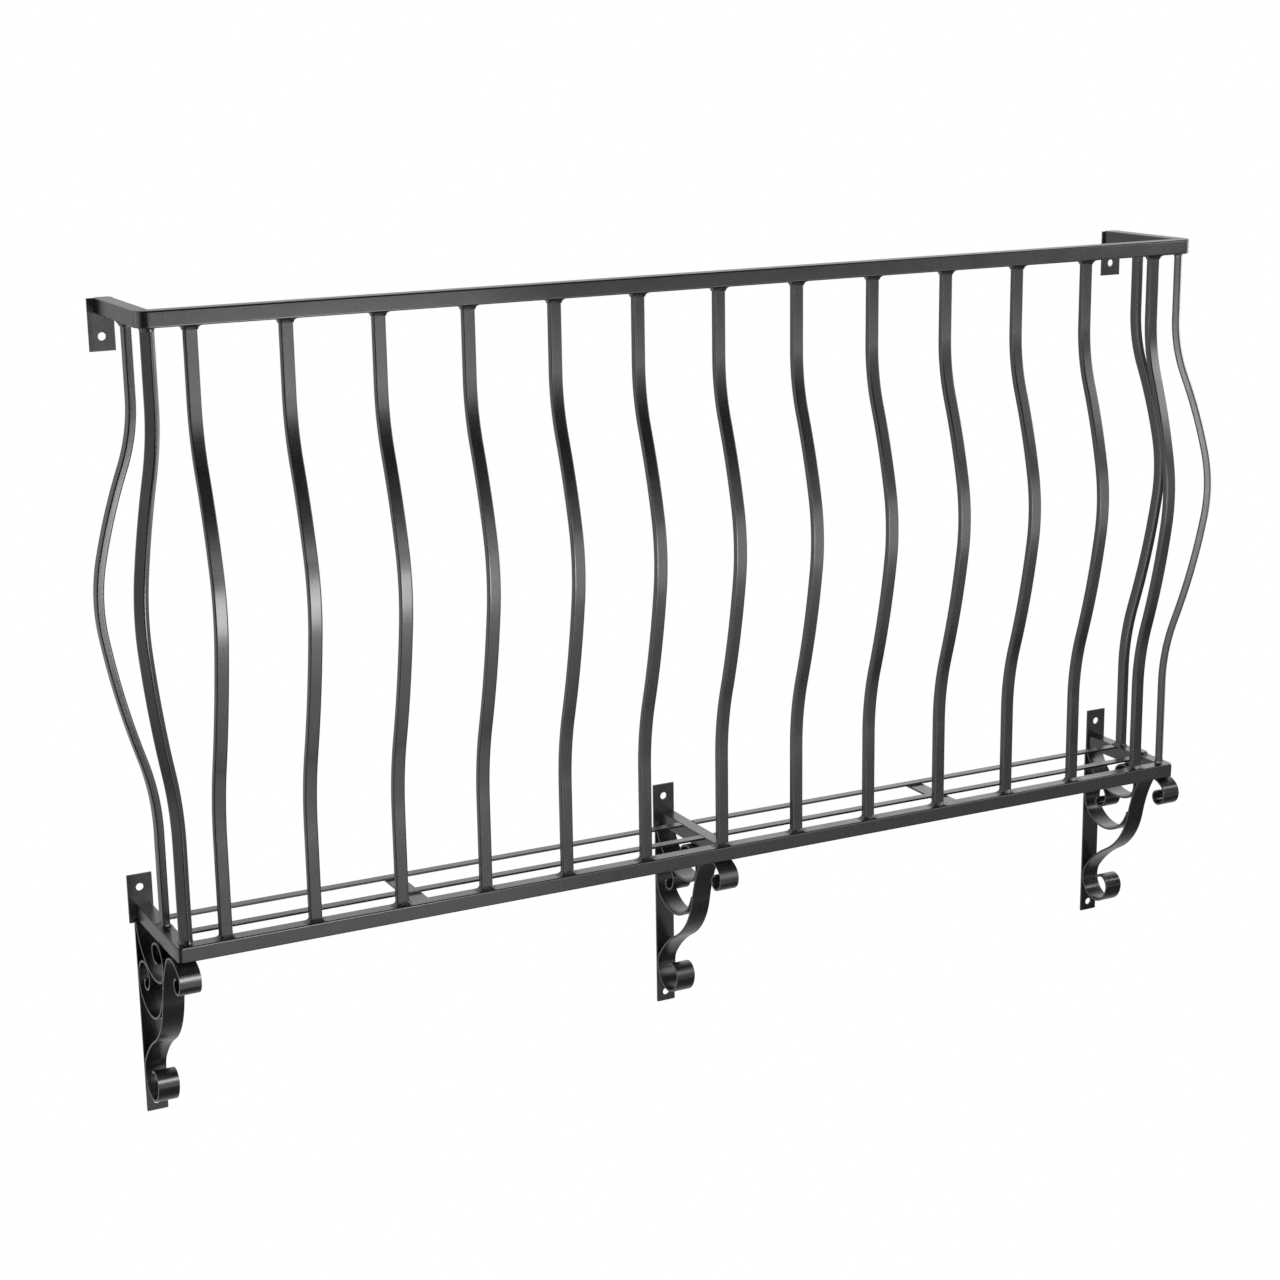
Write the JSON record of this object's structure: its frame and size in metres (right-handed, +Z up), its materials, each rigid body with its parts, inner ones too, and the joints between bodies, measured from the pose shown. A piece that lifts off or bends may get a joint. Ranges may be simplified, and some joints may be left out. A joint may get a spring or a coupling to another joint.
{
  "type": "juliet balcony",
  "caption": "Shallow wall-hung balcony railing: bellied bars between square tube rails, an open slatted floor frame, and scroll brackets with drilled wall straps.",
  "frame": {"origin": "on the wall plane, at the back of the middle lower wall tab, level with the top of the floor frame", "axes": "+X along the wall to the right as seen from outside, +Y into the wall, +Z up; the railing stands out towards -Y"},
  "size_m": [1.601, 0.228, 1.044],
  "materials": {
    "coated_steel": "semi-gloss graphite powder coat"
  },
  "bodies": {
    "root": {"top_front_rail": "coated_steel", "top_left_return": "coated_steel", "top_right_return": "coated_steel", "bottom_front_rail": "coated_steel", "bottom_left_rail": "coated_steel", "bottom_right_rail": "coated_steel", "bottom_middle_rail": "coated_steel", "top_left_tab": "coated_steel", "top_right_tab": "coated_steel", "bottom_left_tab": "coated_steel", "bottom_middle_tab": "coated_steel", "bottom_right_tab": "coated_steel", "front_bar_1": "coated_steel", "front_bar_2": "coated_steel", "front_bar_3": "coated_steel", "front_bar_4": "coated_steel", "front_bar_5": "coated_steel", "front_bar_6": "coated_steel", "front_bar_7": "coated_steel", "front_bar_8": "coated_steel", "front_bar_9": "coated_steel", "front_bar_10": "coated_steel", "front_bar_11": "coated_steel", "front_bar_12": "coated_steel", "front_bar_13": "coated_steel", "left_corner_bar": "coated_steel", "right_corner_bar": "coated_steel", "left_side_bar": "coated_steel", "right_side_bar": "coated_steel", "upper_collars": "coated_steel", "lower_collars": "coated_steel", "floor_slats": "coated_steel", "cross_ties": "coated_steel", "left_back_strap": "coated_steel", "left_s_scroll": "coated_steel", "left_upper_scroll": "coated_steel", "left_lower_scroll": "coated_steel", "middle_back_strap": "coated_steel", "middle_s_scroll": "coated_steel", "middle_upper_scroll": "coated_steel", "middle_lower_scroll": "coated_steel", "right_back_strap": "coated_steel", "right_s_scroll": "coated_steel", "right_upper_scroll": "coated_steel", "right_lower_scroll": "coated_steel"}
  },
  "joints": []
}
